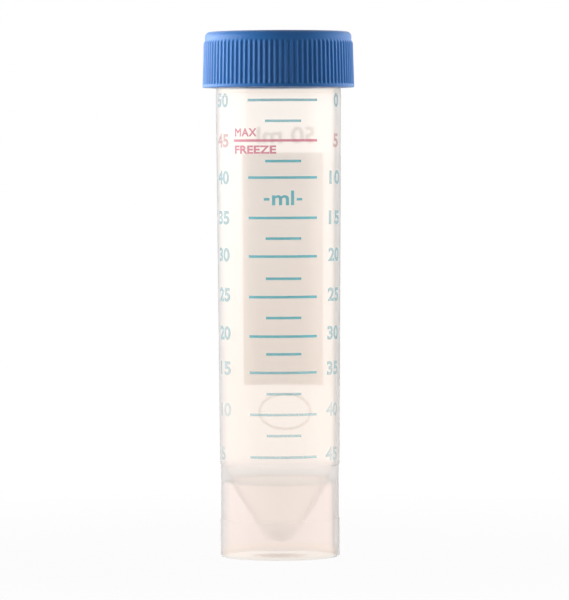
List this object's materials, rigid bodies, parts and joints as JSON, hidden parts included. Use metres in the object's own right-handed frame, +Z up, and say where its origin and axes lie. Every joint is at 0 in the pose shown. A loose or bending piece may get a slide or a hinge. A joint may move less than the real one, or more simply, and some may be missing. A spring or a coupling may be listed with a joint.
{
  "type": "self-standing conical centrifuge tube with screw cap",
  "caption": "Self-standing conical laboratory tube of milky plastic with a printed volume scale and a ribbed blue screw cap.",
  "frame": {"origin": "middle of the ring that the skirt stands on, at the lowest plane", "axes": "+Z up along the tube's axis towards the cap; the printed scale faces -Y; +X to the right of someone reading it"},
  "size_m": [0.0346, 0.0346, 0.1197],
  "materials": {
    "tube": "milky translucent polypropylene, satin",
    "cap": "opaque blue polyethylene, satin",
    "scale_ink": "blue-green printing ink of the scale and its numbers, on the tube",
    "limit_ink": "red printing ink of the fill limit, on the tube",
    "writing_patch": "white matt printed patch to write on, on the tube's back"
  },
  "bodies": {
    "tube": {"tube": "tube"},
    "cap": {"cap": "cap"}
  },
  "joints": [
    {"name": "cap_lift", "type": "slide", "parent": "tube", "child": "cap", "axis": [0, 0, 1], "range_m": [0, 0.025]}
  ]
}
